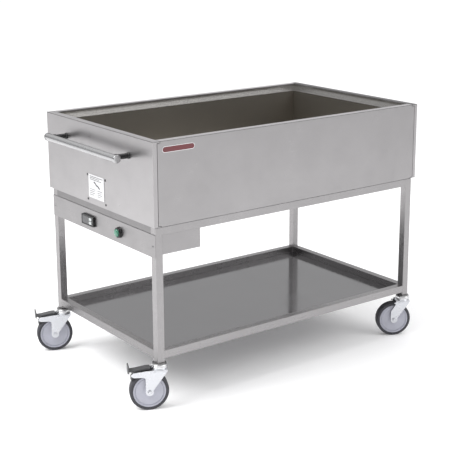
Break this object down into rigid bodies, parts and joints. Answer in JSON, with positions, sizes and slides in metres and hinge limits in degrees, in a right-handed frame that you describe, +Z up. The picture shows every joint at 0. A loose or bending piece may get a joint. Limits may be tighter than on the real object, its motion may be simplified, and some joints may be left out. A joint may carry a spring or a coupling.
{
  "type": "steam table trolley",
  "caption": "Long deep heated well in a folded steel casing on a square-tube frame with a lower shelf, end controls, a push handle and swivel casters.",
  "frame": {"origin": "centre of the whole part's footprint, handle and casters included, on the floor", "axes": "+X along the casing away from the handle and controls, +Y across it from front to back, +Z up"},
  "size_m": [1.1975, 0.7107, 0.86],
  "materials": {
    "casing_steel": "fine brushed stainless sheet",
    "well_steel": "satin stainless, deep drawn and welded",
    "heater": "heat-dulled metal sheath",
    "valve_brass": "machined brass",
    "lever_plastic": "dipped plastic over steel",
    "frame_steel": "brushed stainless tube",
    "shelf_steel": "fine, fairly glossy stainless sheet",
    "key_plastic": "satin",
    "black_plastic": "satin",
    "green_lens": "translucent, glossy",
    "chrome": "polished",
    "label": "printed plate, white ground",
    "zinc": "bright zinc plate",
    "wheel_plastic": "moulded, light grey",
    "tread": "dark grey elastic tread",
    "pedal_paint": "dark grey"
  },
  "bodies": {
    "trolley": {"casing_end_left": "casing_steel", "casing_end_right": "casing_steel", "casing_front": "casing_steel", "casing_back": "casing_steel", "bottom_cover": "casing_steel", "well_step": "well_steel", "well_walls": "well_steel", "well_floor": "well_steel", "heating_element": "heater", "drain_valve_body": "valve_brass", "leg_front_left": "frame_steel", "leg_back_left": "frame_steel", "leg_front_right": "frame_steel", "leg_back_right": "frame_steel", "top_rail_front": "frame_steel", "top_rail_back": "frame_steel", "top_rail_left": "frame_steel", "top_rail_right": "frame_steel", "shelf_rail_front": "frame_steel", "shelf_rail_back": "frame_steel", "shelf_rail_left": "frame_steel", "shelf_rail_right": "frame_steel", "shelf_tray": "shelf_steel", "control_panel": "casing_steel", "control_box": "casing_steel", "controller_case": "black_plastic", "button_bezel": "black_plastic", "cable_gland": "black_plastic", "handle_tube": "chrome", "handle_cap_front": "chrome", "handle_cap_back": "chrome", "handle_standoff_front": "black_plastic", "handle_standoff_back": "black_plastic", "rating_plate": "label", "caster_head_front_left": "chrome", "caster_head_back_left": "chrome", "caster_head_front_right": "chrome", "caster_head_back_right": "chrome"},
    "drain_lever": {"drain_lever": "lever_plastic"},
    "key_upper": {"controller_key_upper": "key_plastic"},
    "key_lower": {"controller_key_lower": "key_plastic"},
    "power_button": {"button_cap": "green_lens"},
    "swivel_front_left": {"caster_fork_front_left": "zinc", "caster_axle_front_left": "zinc"},
    "wheel_front_left": {"caster_wheel_front_left": "wheel_plastic", "caster_tyre_front_left": "tread"},
    "pedal_front_left": {"brake_pedal_front_left": "pedal_paint"},
    "swivel_back_left": {"caster_fork_back_left": "zinc", "caster_axle_back_left": "zinc"},
    "wheel_back_left": {"caster_wheel_back_left": "wheel_plastic", "caster_tyre_back_left": "tread"},
    "pedal_back_left": {"brake_pedal_back_left": "pedal_paint"},
    "swivel_front_right": {"caster_fork_front_right": "zinc", "caster_axle_front_right": "zinc"},
    "wheel_front_right": {"caster_wheel_front_right": "wheel_plastic", "caster_tyre_front_right": "tread"},
    "swivel_back_right": {"caster_fork_back_right": "zinc", "caster_axle_back_right": "zinc"},
    "wheel_back_right": {"caster_wheel_back_right": "wheel_plastic", "caster_tyre_back_right": "tread"}
  },
  "joints": [
    {"name": "drain_lever_turn", "type": "hinge", "parent": "trolley", "child": "drain_lever", "pos_m": [-0.26694, 0.20159, 0.528], "axis": [0, 1, 0], "range_deg": [0, 90]},
    {"name": "key_upper_press", "type": "slide", "parent": "trolley", "child": "key_upper", "axis": [1, 0, 0], "range_m": [0, 0.001], "stiffness_N_per_m": 400, "springref_m": -0.001},
    {"name": "key_lower_press", "type": "slide", "parent": "trolley", "child": "key_lower", "axis": [1, 0, 0], "range_m": [0, 0.001], "stiffness_N_per_m": 400, "springref_m": -0.001},
    {"name": "power_button_press", "type": "slide", "parent": "trolley", "child": "power_button", "axis": [1, 0, 0], "range_m": [0, 0.003], "stiffness_N_per_m": 500, "springref_m": -0.003},
    {"name": "swivel_turn_front_left", "type": "hinge", "parent": "trolley", "child": "swivel_front_left", "pos_m": [-0.49944, -0.32291, 0.133], "axis": [0, 0, 1], "continuous": true},
    {"name": "wheel_spin_front_left", "type": "hinge", "parent": "swivel_front_left", "child": "wheel_front_left", "pos_m": [-0.53026, -0.30854, 0.0625], "axis": [-0.4226, -0.9063, 0], "continuous": true},
    {"name": "brake_press_front_left", "type": "hinge", "parent": "swivel_front_left", "child": "pedal_front_left", "pos_m": [-0.55835, -0.29544, 0.125], "axis": [-0.4226, -0.9063, 0], "range_deg": [0, 8]},
    {"name": "swivel_turn_back_left", "type": "hinge", "parent": "trolley", "child": "swivel_back_left", "pos_m": [-0.49944, 0.30209, 0.133], "axis": [0, 0, 1], "continuous": true},
    {"name": "wheel_spin_back_left", "type": "hinge", "parent": "swivel_back_left", "child": "wheel_back_left", "pos_m": [-0.53119, 0.31427, 0.0625], "axis": [-0.3584, -0.9336, 0], "continuous": true},
    {"name": "brake_press_back_left", "type": "hinge", "parent": "swivel_back_left", "child": "pedal_back_left", "pos_m": [-0.56013, 0.32538, 0.125], "axis": [-0.3584, -0.9336, 0], "range_deg": [0, 8]},
    {"name": "swivel_turn_front_right", "type": "hinge", "parent": "trolley", "child": "swivel_front_right", "pos_m": [0.56556, -0.32291, 0.133], "axis": [0, 0, 1], "continuous": true},
    {"name": "wheel_spin_front_right", "type": "hinge", "parent": "swivel_front_right", "child": "wheel_front_right", "pos_m": [0.53582, -0.30643, 0.0625], "axis": [-0.4848, -0.8746, 0], "continuous": true},
    {"name": "swivel_turn_back_right", "type": "hinge", "parent": "trolley", "child": "swivel_back_right", "pos_m": [0.56556, 0.30209, 0.133], "axis": [0, 0, 1], "continuous": true},
    {"name": "wheel_spin_back_right", "type": "hinge", "parent": "swivel_back_right", "child": "wheel_back_right", "pos_m": [0.53474, 0.31646, 0.0625], "axis": [-0.4226, -0.9063, 0], "continuous": true}
  ]
}
